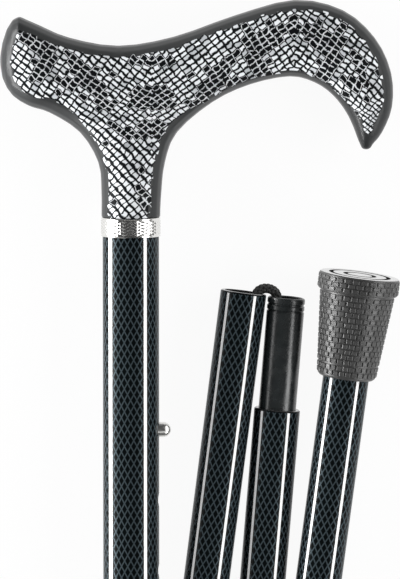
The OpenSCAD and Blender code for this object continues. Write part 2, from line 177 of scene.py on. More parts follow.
# %% Materials in few words
class Finish(Wiring):
    """A material with a Principled shader."""

    def __init__(self, name, **constants):
        self.material = bpy.data.materials.new(name)
        self.material.use_nodes = True
        super().__init__(self.material.node_tree)
        self.shader = self.tree.nodes["Principled BSDF"]
        self.give(**constants)

    def give(self, **values):
        for socket, value in values.items():
            self.feed(self.shader.inputs[socket.replace("_", " ")], value)

    def place(self, to_local=Matrix.Identity(4)):
        """Object coordinates in millimetres, seen from a frame of the piece's own."""
        mapping = {
            "Vector": self.node("ShaderNodeTexCoord").outputs["Object"],
            "Location": to_local.translation / mm,
            "Rotation": to_local.to_euler(),
            "Scale": (1 / mm, 1 / mm, 1 / mm),
        }
        return self.node("ShaderNodeMapping", mapping).outputs[0]

    def attribute(self, name):
        return self.node("ShaderNodeAttribute", attribute_name=name).outputs["Fac"]

    def noise(self, vector, scale, detail=2.0, output="Fac"):
        sockets = {"Vector": vector, "Scale": scale, "Detail": detail}
        return self.node("ShaderNodeTexNoise", sockets).outputs[output]

    def ramp(self, value, low, high, to_low=0.0, to_high=1.0):
        """A soft step from to_low to to_high while value goes from low to high."""
        steps = (value, low, high, to_low, to_high)
        return self.in_order("ShaderNodeMapRange", steps, interpolation_type="SMOOTHSTEP")

    def mix(self, factor, a, b):
        made = self.node("ShaderNodeMix", data_type="RGBA")
        for index, value in ((0, factor), (6, a), (7, b)):
            self.feed(made.inputs[index], value)
        return made.outputs[2]

    def bump(self, height, distance, strength=1.0):
        sockets = {"Height": height, "Distance": distance, "Strength": strength}
        self.give(Normal=self.node("ShaderNodeBump", sockets).outputs[0])


print("finishes ready")

# %% [markdown]
# ## A silver net round a tube
#
# The tubes are aluminium under a glossy blue-black lacquer, printed with a fine silver net.
# An image wrapped round a tube would need a UV map and a seam.
# Instead the nodes work out the angle round the tube's own axis. Two sets of slanted lines cross,
# and a whole number of diamonds goes round the tube, so the net closes on itself by arithmetic.

# %% The net
diamond_length = 4.5
net_line = 0.112


def silver_net(f, turn, along, diamonds):
    """1 on the lines of the net and 0 inside its diamonds."""
    round_tube = f.math("MULTIPLY", turn, diamonds / (2 * math.pi))
    along_tube = f.math("DIVIDE", along, diamond_length)
    rising = f.math("PINGPONG", f.math("ADD", round_tube, along_tube), 0.5)
    falling = f.math("PINGPONG", f.math("SUBTRACT", round_tube, along_tube), 0.5)
    return f.ramp(f.math("MINIMUM", rising, falling), net_line * 0.6, net_line * 1.4, 1.0, 0.0)


print(f"a net of diamonds {diamond_length} mm long")

# %% [markdown]
# ## Pinstripes along a tube
#
# Five white pinstripes run along each tube. The net keeps clear of them, so each has a black border.
# On the upper tube they aren't quite evenly spaced, and the stripe on its lit left side is drawn wider: the white
# beyond the print is a painted highlight.
# A list of stripes could say that. A sine that sways the angle is shorter, and it closes round the tube too.

# %% The pinstripes
stripe_count = 5
stripe_turn = math.radians(30)
# The upper tube's stripe at this angle faces the low left lamp, and its widening is a painted highlight.
highlit_stripe_at = math.radians(-46.7)
stripe_highlight_reach = 0.25, 0.35


def beside_stripe(f, turn, radius, width, width_with_highlight, sway):
    """Millimetres from the edge of the nearest stripe, less than 0 on the stripe itself."""
    swaying = f.math("SINE", f.math("SUBTRACT", turn, stripe_turn / 2))
    uneven = f.math("MULTIPLY_ADD", swaying, -sway, turn)
    from_stripe = f.math("PINGPONG", f.math("SUBTRACT", uneven, stripe_turn), math.pi / stripe_count)
    # Near that stripe the half width grows: the extra white is a painted highlight beside the printed stripe.
    from_highlit_stripe = f.math("ABSOLUTE", f.math("SUBTRACT", turn, highlit_stripe_at))
    painted_highlight_width = f.ramp(from_highlit_stripe, *stripe_highlight_reach, max(width_with_highlight - width, 0.0) / 2, 0.0)
    half_width = f.math("ADD", painted_highlight_width, width / 2)
    return f.math("SUBTRACT", f.math("MULTIPLY", from_stripe, radius), half_width)


print(f"{stripe_count} stripes to a tube")

# %% [markdown]
# ## Where the lacquer ends
#
# The lacquer is on the outside only. A cut end and the inner wall are bare metal,
# and the print stops just short of an end.
# Separate rings at the ends would be pieces that the real tube hasn't got, so two distances decide it:
# how far a point is from the middle of the tube's length, and how far from its axis.

# %% The coat
plain_end, print_blur = 0.8, 0.15
bare_end, coat_depth, coat_blur = 0.25, 0.3, 0.1


def half_length(node, to_local):
    """Half the length of a tube along its own axis, in millimetres."""
    return max(abs((to_local @ v.co).y) for v in nodes[node].data.vertices) / mm


def bare_and_printed(f, x, y, z, radius, end):
    """Two masks: where the metal is bare, and where the lacquer carries print."""
    from_middle = f.math("ABSOLUTE", y)
    from_axis = f.length(f.join(x, 0.0, z))
    cut = f.ramp(from_middle, end - bare_end, end - bare_end + coat_blur)
    inside = f.ramp(from_axis, radius - coat_depth, radius - coat_depth + coat_blur, 1.0, 0.0)
    bare = f.math("MAXIMUM", cut, inside)
    off_end = f.ramp(from_middle, end - plain_end, end - plain_end + print_blur, 1.0, 0.0)
    return bare, f.math("MULTIPLY", off_end, f.math("SUBTRACT", 1.0, bare))


print(f"the print stops {plain_end} mm from a tube's end")

# %% [markdown]
# ## Lacquer on five tubes
#
# Nearly every colour on the cane is a grey with a faint tint, so a short function writes them.
# Ink is rougher than lacquer, and stands up from it by a hundredth of a millimetre.
# The net's ink is partly metallic, so it catches light on one side of a tube and fades on the other.


# %% Colours of a tube
def grey(level, tint=(1.0, 1.0, 1.0)):
    return (level * tint[0], level * tint[1], level * tint[2], 1.0)


lacquer_black = grey(0.002, (0.7, 1.0, 1.2))
lacquer_blue = grey(0.004, (0.6, 1.0, 1.1))
net_silver = grey(0.064, (0.74, 1.0, 1.14))
stripe_white = grey(0.95)
bare_metal = grey(0.35)
net_metal = 0.4
lacquer_rough, ink_rough = 0.22, 0.36
ink_relief = 0.01 * mm
stripe_border, border_blur, stripe_blur = 0.5, 0.1, 0.08
print("lacquer, silver, white and bare metal")


# %% Lacquered tubes
def dress(piece, finish):
    piece.data.materials.clear()
    piece.data.materials.append(finish.material)


def lacquered_tube(node, section, radius, diamonds, stripe_width, stripe_with_highlight=0.0, sway=0.0):
    to_local = section_frames[section].copy()
    to_local.translation = middle_of(node)
    to_local.invert()
    f = Finish(f"lacquer_{node}", Specular_IOR_Level=0.08)
    x, y, z = f.split(f.place(to_local))
    turn = f.math("ARCTAN2", x, z)
    bare, printed = bare_and_printed(f, x, y, z, radius, half_length(node, to_local))
    beside = beside_stripe(f, turn, radius, stripe_width, stripe_with_highlight, sway)
    stripe = f.math("MULTIPLY", f.ramp(beside, -stripe_blur, stripe_blur, 1.0, 0.0), printed)
    off_stripe = f.ramp(beside, stripe_border - border_blur, stripe_border + border_blur)
    net = f.math("MULTIPLY", silver_net(f, turn, y, diamonds), off_stripe)
    net = f.math("MULTIPLY", net, printed)
    ink = f.math("MAXIMUM", net, stripe)
    lacquer = f.mix(f.noise(f.join(x, y, z), scale=0.12, detail=3.0), lacquer_black, lacquer_blue)
    print_on_lacquer = f.mix(stripe, f.mix(net, lacquer, net_silver), stripe_white)
    f.give(
        Base_Color=f.mix(bare, print_on_lacquer, bare_metal),
        Metallic=f.math("MAXIMUM", bare, f.math("MULTIPLY", net, net_metal)),
        Roughness=f.ramp(ink, 0.0, 1.0, lacquer_rough, ink_rough),
    )
    f.bump(ink, ink_relief)
    dress(nodes[node], f)


# The upper tube's 1.3 mm stripe on the left is drawn 1.9 mm wide, and the extra is a painted highlight.
upper_tube = dict(radius=11.0, diamonds=28, stripe_width=1.3, stripe_with_highlight=1.9, sway=math.radians(4.8))
shaft_tube = dict(radius=9.0, diamonds=23, stripe_width=1.15)
lacquered_tube("outer_tube", 1, **upper_tube)
lacquered_tube("inner_tube", 1, **shaft_tube)
for number in (2, 3, 4):
    lacquered_tube(f"tube_{number}", number, **shaft_tube)
print("five tubes lacquered")

# %% [markdown]
# ## Moulded plastic
#
# Spigots, caps, bushes and plugs are moulded in black plastic, which is satin and never quite even.
# A flat colour would look like a drawing, so one noise varies the tone and the gloss,
# and a finer one gives a grain.

# %% Satin plastic
plastic_dark = grey(0.012, (0.8, 1.0, 1.05))
plastic_light = grey(0.022, (0.85, 1.0, 1.03))
satin_plastic = Finish("satin_plastic", Specular_IOR_Level=0.85)
spot = satin_plastic.place()
flow_marks = satin_plastic.noise(spot, scale=0.25, detail=3.0)
grain = satin_plastic.noise(spot, scale=2.4, detail=3.0)
satin_plastic.give(
    Base_Color=satin_plastic.mix(flow_marks, plastic_dark, plastic_light),
    Roughness=satin_plastic.ramp(flow_marks, 0.2, 0.8, to_low=0.2, to_high=0.32),
)
satin_plastic.bump(grain, distance=0.06 * mm, strength=0.6)
plastic_pieces = [
    "handle_stem", "guide_collar", "top_bush", "cord_anchor_top", "cord_anchor_bottom",
    *(f"spigot_{k}" for k in (2, 3, 4)),
    *(f"spigot_cap_{k}" for k in (2, 3, 4)),
]
for node in plastic_pieces:
    dress(nodes[node], satin_plastic)
print(f"{len(plastic_pieces)} plastic pieces")

# %% [markdown]
# ## Bright metal
#
# The collar and the snap button are plated, and the spring and the disc in the foot are bare steel.
# Plating is a mirror with faint smears, so one noise varies its gloss and a little of its tone.
# Bare steel gets a rougher, darker mix.


# %% Plated and bare steel
def steel(name, level, rough_low, rough_high):
    f = Finish(name, Metallic=1.0)
    smear = f.noise(f.place(), scale=0.7, detail=3.0)
    f.give(
        Base_Color=f.mix(smear, grey(level, (1.0, 1.0, 0.98)), grey(level * 0.9, (1.0, 0.99, 0.96))),
        Roughness=f.ramp(smear, 0.25, 0.75, rough_low, rough_high),
    )
    return f


plated = steel("plated", level=0.85, rough_low=0.12, rough_high=0.2)
nickel = steel("nickel", level=0.86, rough_low=0.28, rough_high=0.38)
bare_steel = steel("bare_steel", level=0.5, rough_low=0.3, rough_high=0.45)
dress(nodes["collar_ring"], plated)
dress(nodes["adjust_button"], nickel)
for node in ("button_spring", "ferrule_washer"):
    dress(nodes[node], bare_steel)
print("metal pieces dressed")

# %% [markdown]
# ## A recipe
#
# Relief that repeats hundreds of times is made by Geometry Nodes. A recipe is such a tree with named inputs.
# It could stay live on the piece, but each run is kept as its result, a plain mesh.


# %% Geometry Nodes in few words
class Recipe(Wiring):
    """A tree of Geometry Nodes with named inputs and one geometry output."""

    def __init__(self, name, **inputs):
        super().__init__(bpy.data.node_groups.new(name, "GeometryNodeTree"))
        for label, kind in inputs.items():
            self.tree.interface.new_socket(label, in_out="INPUT", socket_type="NodeSocket" + kind)
        self.tree.interface.new_socket("Geometry", in_out="OUTPUT", socket_type="NodeSocketGeometry")
        self.inputs = self.node("NodeGroupInput").outputs
        self.output = self.node("NodeGroupOutput")

    def ends_in(self, geometry, material):
        """Every recipe ends in real faces that carry a material."""
        real = self.node("GeometryNodeRealizeInstances", {"Geometry": geometry}).outputs[0]
        done = self.node("GeometryNodeSetMaterial", {"Geometry": real, "Material": material}).outputs[0]
        self.feed(self.output.inputs[0], done)

    def make(self, name, place=Matrix.Identity(4), **sizes):
        """Runs the recipe once, and keeps the result as a plain mesh put in its place."""
        host = bpy.data.objects.new(name, bpy.data.meshes.new(name))
        scene.collection.objects.link(host)
        modifier = host.modifiers.new(name, "NODES")
        modifier.node_group = self.tree
        for item in self.tree.interface.items_tree:
            if item.in_out == "INPUT":
                modifier[item.identifier] = sizes[item.name]
        keep_result(host)
        host.data.transform(place)
        print(f"{name}: {len(host.data.polygons)} faces")
        return host


def mesh_of(piece):
    """The mesh that a piece shows once its modifiers have run."""
    return bpy.data.meshes.new_from_object(piece.evaluated_get(bpy.context.evaluated_depsgraph_get()))


def keep_result(piece):
    """Puts the modifiers' result in place of the modifiers."""
    result = mesh_of(piece)
    piece.modifiers.clear()
    piece.data = result


print("recipes ready")

# %% [markdown]
# ## Rows of relief round a cone
#
# The collar is knurled with rows of tiny pyramids, and the rubber foot carries rows of bricks.
# Both are one rule: rows round a cone, each row shifted by half a piece against the next.
# The number of a copy gives its row and its place in the row, and these give its height and its angle.

# %% Where each copy goes
staggered_rows = Recipe(
    "staggered_rows", rows="Int", per_row="Int", low_radius="Float", high_radius="Float",
    low="Float", high="Float", relief="Float", fill="Float", shape="Object", material="Material",
)
r, inputs = staggered_rows, staggered_rows.inputs
index = r.node("GeometryNodeInputIndex").outputs[0]
row = r.math("FLOOR", r.math("DIVIDE", r.math("ADD", index, 0.5), inputs["per_row"]))
column = r.math("SUBTRACT", index, r.math("MULTIPLY", row, inputs["per_row"]))
share = r.math("DIVIDE", r.math("ADD", row, 0.5), inputs["rows"])
rise = r.math("SUBTRACT", inputs["high"], inputs["low"])
widening = r.math("SUBTRACT", inputs["high_radius"], inputs["low_radius"])
height = r.math("MULTIPLY_ADD", share, rise, inputs["low"])
radius = r.math("MULTIPLY_ADD", share, widening, inputs["low_radius"])
pitch = r.math("DIVIDE", 2 * math.pi, inputs["per_row"])
shifted = r.math("MULTIPLY_ADD", r.math("MODULO", row, 2.0), 0.5, column)
angle = r.math("MULTIPLY", shifted, pitch)
cosine, sine = r.math("COSINE", angle), r.math("SINE", angle)
spot = r.join(r.math("MULTIPLY", radius, cosine), r.math("MULTIPLY", radius, sine), height)
print("places worked out from", ", ".join(socket.name for socket in inputs if socket.name))

# %% [markdown]
# ## Copies on those places
#
# Each copy has to lean with the cone, so its z looks outward and its y up the cone.
# Its width is a share of the row's pitch, so a wider row gets wider bricks, as a mould would have them.

# %% From places to copies
outward = r.join(cosine, sine, r.math("DIVIDE", r.math("MULTIPLY", widening, -1.0), rise))
turned = r.node(
    "FunctionNodeAxesToRotation",
    {"Primary Axis": outward, "Secondary Axis": (0.0, 0.0, 1.0)},
    primary_axis="Z", secondary_axis="Y",
).outputs[0]
size = r.join(
    r.math("MULTIPLY", r.math("MULTIPLY", radius, pitch), inputs["fill"]),
    r.math("MULTIPLY", r.math("DIVIDE", rise, inputs["rows"]), inputs["fill"]),
    inputs["relief"],
)
count = r.math("MULTIPLY", inputs["rows"], inputs["per_row"])
line = r.node("GeometryNodeMeshLine", {"Count": count}).outputs[0]
points = r.node("GeometryNodeSetPosition", {"Geometry": line, "Position": spot}).outputs[0]
shape = r.node("GeometryNodeObjectInfo", {"Object": inputs["shape"]}).outputs["Geometry"]
copies = r.node(
    "GeometryNodeInstanceOnPoints", {"Points": points, "Instance": shape, "Rotation": turned, "Scale": size}
).outputs[0]
r.ends_in(copies, inputs["material"])
print("recipe ready:", staggered_rows.tree.name)

# %% [markdown]
# ## The pyramids and bricks themselves
#
# A shape that is repeated hundreds of times needs few faces.
# A pyramid of the knurl has four, and a brick has a crowned top with two steps of side walls.
# Both are drawn at size one: the recipe stretches each copy to its row.


# %% Two small shapes
def small_shape(name, rings):
    """A stack of four-sided rings, closed at the top, for copying. It isn't shown itself."""
    bm = bmesh.new()
    levels = [[bm.verts.new(point) for point in ring] for ring in rings]
    for lower, upper in zip(levels, levels[1:]):
        for i in range(4):
            corner = [lower[i], lower[(i + 1) % 4], upper[(i + 1) % len(upper)], upper[i % len(upper)]]
            bm.faces.new(list(dict.fromkeys(corner)))
    if len(levels[-1]) == 4:
        bm.faces.new(levels[-1])
    mesh = bpy.data.meshes.new(name)
    bm.to_mesh(mesh)
    bm.free()
    return bpy.data.objects.new(name, mesh)


def square_ring(half, height):
    return [(-half, -half, height), (half, -half, height), (half, half, height), (-half, half, height)]


knurl_point = small_shape("knurl_point", [[(0, -1, 0), (0.5, 0, 0), (0, 1, 0), (-0.5, 0, 0)], [(0, 0, 1)]])
brick = small_shape("brick", [square_ring(0.5, -0.4), square_ring(0.47, 0.55), square_ring(0.36, 1.0)])
print("shapes:", len(knurl_point.data.polygons), "and", len(brick.data.polygons), "faces")

# %% [markdown]
# ## The knurled collar
#
# The plated sleeve under the handle has a bead at each edge and a knurled band between them.
# The band stands on the solid sleeve, so the pyramids start just under its surface.

# %% Knurl on the collar
collar_low, collar_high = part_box("collar_ring")
collar_foot = Vector((middle_of("collar_ring").x, collar_low.y, middle_of("collar_ring").z))
stand_up = Matrix.Rotation(math.radians(-90), 4, "X")
band_radius = 11.46 * mm
band_inset = 0.9 * mm
collar_knurl = staggered_rows.make(
    "collar_knurl", Matrix.Translation(collar_foot) @ stand_up,
    rows=9, per_row=28, low_radius=band_radius, high_radius=band_radius,
    low=band_inset, high=collar_high.y - collar_low.y - band_inset,
    relief=0.24 * mm, fill=0.98, shape=knurl_point, material=plated.material,
)
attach(collar_knurl, "handle_section")

# %% [markdown]
# ## The rubber of the foot
#
# The foot is a moulded ferrule: a rim, a tapered shaft and ring grooves in the sole.
# Its rubber is matt and a little dusty, with a tone that varies in soft patches.
# The sole is shinier. It could have a second material,
# but the nodes can find it by the height in the foot's own frame.

# %% Rubber
sole_point = Vector(mounts["sole"]["pos_m"])
up_the_foot = lying_frame(sole_point, -Vector(mounts["sole"]["axis"]))
foot_frame = up_the_foot @ Matrix.Rotation(math.radians(90), 4, "X")
dusty = (1.0, 1.0, 0.98)
sole_gloss = 0.3
rubber = Finish("moulded_rubber", Specular_IOR_Level=0.65)
spot = rubber.place()
patches = rubber.noise(spot, scale=0.18, detail=4.0)
dust = rubber.noise(spot, scale=3.5, detail=3.0)
up_from_sole = rubber.split(rubber.place(foot_frame.inverted()))[2]
on_sole = rubber.ramp(up_from_sole, 0.05, 0.3, to_low=1.0, to_high=0.0)
rubber.give(
    Base_Color=rubber.mix(
        rubber.ramp(patches, 0.3, 0.7),
        rubber.mix(dust, grey(0.024), grey(0.034, dusty)),
        rubber.mix(dust, grey(0.032), grey(0.047, dusty)),
    ),
    Roughness=rubber.math("MULTIPLY_ADD", on_sole, -sole_gloss, rubber.ramp(dust, 0.2, 0.8, 0.34, 0.44)),
    Coat_Weight=on_sole,
)
rubber.bump(rubber.noise(spot, scale=8.0, detail=2.0), distance=0.04 * mm, strength=0.4)
dress(nodes["ferrule"], rubber)
print("foot dressed in rubber")

# %% [markdown]
# ## The bricks of the foot
#
# Rows of small bricks stand in relief on the rim, on the shaft and round the mouth.
# The joints between them lie in shade by themselves, so they need no colour of their own.

# %% Bricks in three bands
bricks_per_row = 30
foot_bands = {
    "ferrule_rim_bricks": dict(rows=3, low=0.7, high=6.2, low_radius=15.6, high_radius=15.6),
    "ferrule_shaft_bricks": dict(rows=13, low=7.4, high=34.6, low_radius=14.34, high_radius=11.84),
    "ferrule_mouth_bricks": dict(rows=2, low=35.0, high=39.3, low_radius=11.8, high_radius=11.41),
}
for name, band in foot_bands.items():
    lengths = {key: value * mm for key, value in band.items() if key != "rows"}
    bricks = staggered_rows.make(
        name, foot_frame, rows=band["rows"], per_row=bricks_per_row, relief=0.32 * mm, fill=0.86,
        shape=brick, material=rubber.material, **lengths,
    )
    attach(bricks, "section_4")

# %% [markdown]
# ## How a braid runs
#
# One braided elastic cord runs through all four sections and shows where it loops over a fold.
# A tube with a bump map looks smooth at its edge, so here the strands are real.
# Half of them wind left and half wind right round a path, and they swap places as they cross.

# %% Where each strand runs
braid = Recipe(
    "braid", path="Object", strands="Int", steps="Int", radius="Float", turns="Float",
    strand_radius="Float", weave="Float", material="Material",
)
r, inputs = braid, braid.inputs
index = r.node("GeometryNodeInputIndex").outputs[0]
strand = r.math("FLOOR", r.math("DIVIDE", r.math("ADD", index, 0.5), inputs["steps"]))
step = r.math("SUBTRACT", index, r.math("MULTIPLY", strand, inputs["steps"]))
share = r.math("DIVIDE", step, r.math("SUBTRACT", inputs["steps"], 1.0))
side = r.math("MULTIPLY_ADD", r.math("MODULO", strand, 2.0), -2.0, 1.0)
start = r.math("DIVIDE", r.math("MULTIPLY", strand, 2 * math.pi), inputs["strands"])
wind = r.math("MULTIPLY", r.math("MULTIPLY", share, inputs["turns"]), 2 * math.pi)
angle = r.math("MULTIPLY_ADD", side, wind, start)
crossings = r.math("MULTIPLY", r.math("MULTIPLY", wind, inputs["strands"]), 0.5)
over = r.math("MULTIPLY", r.math("COSINE", crossings), side)
lift = r.math("MULTIPLY_ADD", over, inputs["weave"], inputs["radius"])
print("strands worked out from", ", ".join(socket.name for socket in inputs if socket.name))

# %% [markdown]
# ## Strands from points
#
# The path is sampled at every step, and each point moves out from it by the strand's lift.
# Points of one strand are then joined into a curve, and a small five-sided profile is swept along it.

# %% From points to strands
path = r.node("GeometryNodeObjectInfo", {"Object": inputs["path"]}).outputs["Geometry"]
sample = r.node(
    "GeometryNodeSampleCurve", {"Curves": path, "Factor": share}, mode="FACTOR", use_all_curves=True
).outputs
binormal = r.vector("CROSS_PRODUCT", sample["Tangent"], sample["Normal"])
out = r.vector(
    "ADD",
    r.scaled(sample["Normal"], r.math("MULTIPLY", lift, r.math("COSINE", angle))),
    r.scaled(binormal, r.math("MULTIPLY", lift, r.math("SINE", angle))),
)
spot = r.vector("ADD", sample["Position"], out)
count = r.math("MULTIPLY", inputs["strands"], inputs["steps"])
line = r.node("GeometryNodeMeshLine", {"Count": count}).outputs[0]
laid = r.node("GeometryNodeSetPosition", {"Geometry": line, "Position": spot}).outputs[0]
points = r.node("GeometryNodeMeshToPoints", {"Mesh": laid}).outputs[0]
grouped = {"Points": points, "Curve Group ID": strand, "Weight": step}
curves = r.node("GeometryNodePointsToCurves", grouped).outputs[0]
round_profile = {"Resolution": 5, "Radius": inputs["strand_radius"]}
profile = r.node("GeometryNodeCurvePrimitiveCircle", round_profile).outputs[0]
sweep = {"Curve": curves, "Profile Curve": profile, "Fill Caps": True}
swept = r.node("GeometryNodeCurveToMesh", sweep).outputs[0]
r.ends_in(swept, inputs["material"])
print("recipe ready:", braid.tree.name)

# %% [markdown]
# ## The cord's route
#
# In a section the cord runs straight.
# At a fold it leaves the mouth, bends over both rims in half an ellipse and goes into the next spigot.
# The hinge lines come from the joints, and the ellipse's own sizes are set here.

# %% Points along the cord
cord_radius = 1.7 * mm
mouth_arm = 3.45 * mm
spigot_arm = 4.65 * mm
loop_height = 3.3 * mm
loop_depth = 1.2 * mm
fold_count = 3


def loop_points(fold, count=33):
    """Arc of the cord round a fold, from the upper section's mouth to the next section's spigot."""
    joint = joints[f"fold_{fold}"]
    hinge = Vector(joint["pos_m"])
    section = section_frames[fold]
    along = section.to_3x3().col[1]
    to_axis = section.translation - hinge
    to_axis -= along * to_axis.dot(along)
    inward = to_axis.normalized()
    axis = Vector(joint["axis"])
    into_mouth = axis.cross(inward)
    turn = math.radians(joint["range_deg"][1])
    made = []
    for i in range(count):
        half_turn = math.pi * i / (count - 1)
        across = (mouth_arm - spigot_arm) / 2 + (mouth_arm + spigot_arm) / 2 * math.cos(half_turn)
        deep = loop_depth - loop_height * math.sin(half_turn)
        bend = Matrix.Rotation((math.pi - turn) * i / (count - 1), 3, axis)
        made.append(hinge + bend @ (inward * across + into_mouth * deep))
    return made


def length_of(points):
    return sum((b - a).length for a, b in zip(points, points[1:]))


loops = {fold: loop_points(fold) for fold in range(1, fold_count + 1)}
runs = {
    1: [middle_of("cord_anchor_top"), loops[1][0]],
    2: [loops[1][-1], loops[2][0]],
    3: [loops[2][-1], loops[3][0]],
    4: [loops[3][-1], middle_of("cord_anchor_bottom")],
}
cord_length = sum(length_of(points) for points in [*loops.values(), *runs.values()])
print(f"the cord is {cord_length / mm:.0f} mm long, folded up")

# %% [markdown]
# ## Braiding the cord
#
# The strands are dark polyester over rubber, a little fuzzy and not quite even in tone.
# Each stretch of cord becomes one piece: the recipe lays the strands,
# and the path itself, made thick, is the smooth core inside them.

# %% Polyester
polyester = Finish("braided_polyester", Specular_IOR_Level=0.5, Roughness=0.5)
fibre = polyester.noise(polyester.place(), scale=2.6, detail=3.0)
polyester.give(Base_Color=polyester.mix(fibre, grey(0.02), grey(0.055, (1.0, 0.98, 0.96))))
fuzz = polyester.noise(polyester.place(), scale=9.0, detail=2.0)
polyester.bump(fuzz, distance=0.06 * mm, strength=0.7)
print("polyester ready")

# %% A braided stretch of cord
braid_pitch = 14 * mm
strand_count = 12
fewest_steps = 24


def path_object(name, points):
    """A poly curve through the points, for a recipe to follow."""
    curve = bpy.data.curves.new(name, "CURVE")
    curve.dimensions = "3D"
    curve.twist_mode = "Z_UP"
    spline = curve.splines.new("POLY")
    spline.points.add(len(points) - 1)
    for point, target in zip(spline.points, points):
        point.co = (*target, 1.0)
    path = bpy.data.objects.new(name, curve)
    scene.collection.objects.link(path)
    return path


def braided(name, points, step_length):
    length = length_of(points)
    path = path_object(f"{name}_path", points)
    piece = braid.make(
        name, path=path, strands=strand_count, steps=max(fewest_steps, round(length / step_length)),
        radius=cord_radius * 0.8, turns=length / braid_pitch, strand_radius=cord_radius * 0.26,
        weave=cord_radius * 0.1, material=polyester.material,
    )
    path.data.bevel_depth = cord_radius * 0.78
    path.data.bevel_resolution = 3
    path.data.use_fill_caps = True
    bm = bmesh.new()
    bm.from_mesh(piece.data)
    bm.from_mesh(mesh_of(path))
    bmesh.ops.recalc_face_normals(bm, faces=bm.faces)
    bm.to_mesh(piece.data)
    bm.free()
    bpy.data.objects.remove(path)
    dress(piece, polyester)
    for polygon in piece.data.polygons:
        polygon.material_index = 0
        polygon.use_smooth = True
    return piece


print(f"{strand_count} strands, one turn in {braid_pitch / mm:.0f} mm")

# %% [markdown]
# ## Loops and runs
#
# A loop stays where its fold puts it, and each run is attached to its section's body.
# Real elastic cord pulls short as the next spigot slides home, but a run here keeps its length.

# %% Cord pieces
loop_step, run_step = 0.3 * mm, 0.8 * mm
for fold, points in loops.items():
    piece = braided(f"elastic_loop_{fold}", points, loop_step)
    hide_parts(f"cord_loop_{fold}")
    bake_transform(piece)

run_bodies = {1: "inner_shaft", 2: "section_2", 3: "section_3", 4: "section_4"}
for number, points in runs.items():
    piece = braided(f"elastic_run_{number}", points, run_step)
    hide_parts(f"cord_run_{number}")
    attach(piece, run_bodies[number])
    if number <= fold_count:
        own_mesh(piece)

# %% [markdown]
# ## The printed handle
#
# The derby handle is a soft-touch moulding with a snakeskin print on its face.
# Its solid is a loft of flat facets, which shows at this distance.
# We copy it, rebuild it as small even faces and relax them, and the copy stands for the solid.

# %% A smooth copy of the handle
voxel = 0.6 * mm
handle = bpy.data.objects.new("handle_shell", nodes["handle_body"].data.copy())
scene.collection.objects.link(handle)
bm = bmesh.new()
bm.from_mesh(handle.data)
bmesh.ops.remove_doubles(bm, verts=bm.verts, dist=0.001 * mm)
bm.to_mesh(handle.data)
bm.free()
remesh = handle.modifiers.new("even_faces", "REMESH")
remesh.mode = "VOXEL"
remesh.voxel_size = voxel
relax = handle.modifiers.new("relax", "SMOOTH")
relax.factor = 0.5
relax.iterations = 5
keep_result(handle)
for polygon in handle.data.polygons:
    polygon.use_smooth = True
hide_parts("handle_body")
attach(handle, "handle_section")
print(f"handle: {len(handle.data.vertices)} points")

# %% [markdown]
# ## How far from the outline
#
# The print keeps a few millimetres away from the handle's outline.
# A material can't see an outline, so each point of the mesh gets its distance to it.
# A tree of the outline's points finds the nearest one quickly.
# The bore and the foot of the neck don't count as outline.

# %% Distance to the handle's outline
bore_radius, bore_top = 8, 52
foot_radius, foot_height = 10.6, 1.0
points = np.array([v.co - collar_foot for v in handle.data.vertices]) / mm
side, up = points[:, 0], points[:, 1]
neck_foot = (collar_high.y - collar_low.y) / mm
in_bore = (np.abs(side) < bore_radius) & (up < bore_top)
at_foot = (np.abs(side) < foot_radius) & (up < neck_foot + foot_height)
outline = points[(np.abs(points[:, 2]) < 0.5) & ~in_bore & ~at_foot]
tree = KDTree(len(outline))
for number, (x, y, _) in enumerate(outline):
    tree.insert((x, y, 0.0), number)
tree.balance()
to_outline = np.array([tree.find((x, y, 0.0))[2] for x, y in zip(side, up)])
print(f"{len(outline)} points on the outline")

# %% [markdown]
# ## Room for the print
#
# The margin isn't the same all round: it is wider under the short arm and at both tips,
# and narrower along the long arm and at the neck's left.
# Each region fades in softly, so that the print's edge has no step.
# What is left of the distance after the margin goes on the mesh as an attribute, for the material to read.


# %% The print's margin
def fade(values, low, high):
    """Soft step from 0 at low to 1 at high."""
    share = np.clip((values - low) / (high - low), 0, 1)
    return share * share * (3 - 2 * share)


# Regions of the face, in millimetres to the right of the collar's foot and up from it
left_of_neck = fade(48 - up, 0, 14) * (side <= 0)
under_short_arm = fade(-side, 14, 30) * fade(66 + 0.3 * side - up, -4, 6)
long_arm = fade(side, 16, 30)
under_long_arm = long_arm * fade(50 + 0.42 * np.minimum(side, 62) - up, -5, 1) * fade(92 - side, 0, 10)
nose, butt = fade(side, 84, 96), fade(-side, 36, 46)
plain_margin = 4.0
wider = 2.0 * under_short_arm + 1.0 * nose + 0.8 * butt
narrower = 0.7 * long_arm + 1.0 * under_long_arm + 0.9 * left_of_neck
margin = plain_margin + wider - narrower
edge_layer = handle.data.attributes.new("print_edge", "FLOAT", "POINT")
edge_layer.data.foreach_set("value", (to_outline - margin).astype(np.float32))
print(f"print covers {np.mean(to_outline > margin):.0%} of the handle's points")

# %% [markdown]
# ## A net of scales
#
# The print is a snakeskin: a net of four-sided scales, laid flat over the handle and mirrored left and right.
# Two sets of slanted lines make the net. Rows fall to the right and columns rise,
# and each set has one slope in the neck and another in the arms. Near the mirror line the lines lie flatter.
# A noise sways the whole net a little, because skin is never ruled.

# %% Rows and columns
mirror_at, tile_width = 8.3, 55.0
bend_at, bend_soft = 42.0, 18.0
row_slope, column_slope = (0.85, 1.38), (1.2, 0.67)
hub_at, hub_reach, hub_flatness = 50.0, 8.0, (0.25, 0.5)
hub_fade = 4.0, 40.0
skin_sway = 2.2
skin_print = Finish("soft_touch_print", Specular_IOR_Level=0.12)
f = skin_print


def slanted(height, slopes):
    """Sideways shift of a line at a height, for one slope in the neck and another in the arms."""
    climb = f.math("SUBTRACT", height, bend_at)
    in_arms = f.math("SMOOTH_MAX", climb, 0.0, bend_soft)
    return f.math("MULTIPLY_ADD", climb, slopes[0], f.math("MULTIPLY", in_arms, slopes[1] - slopes[0]))


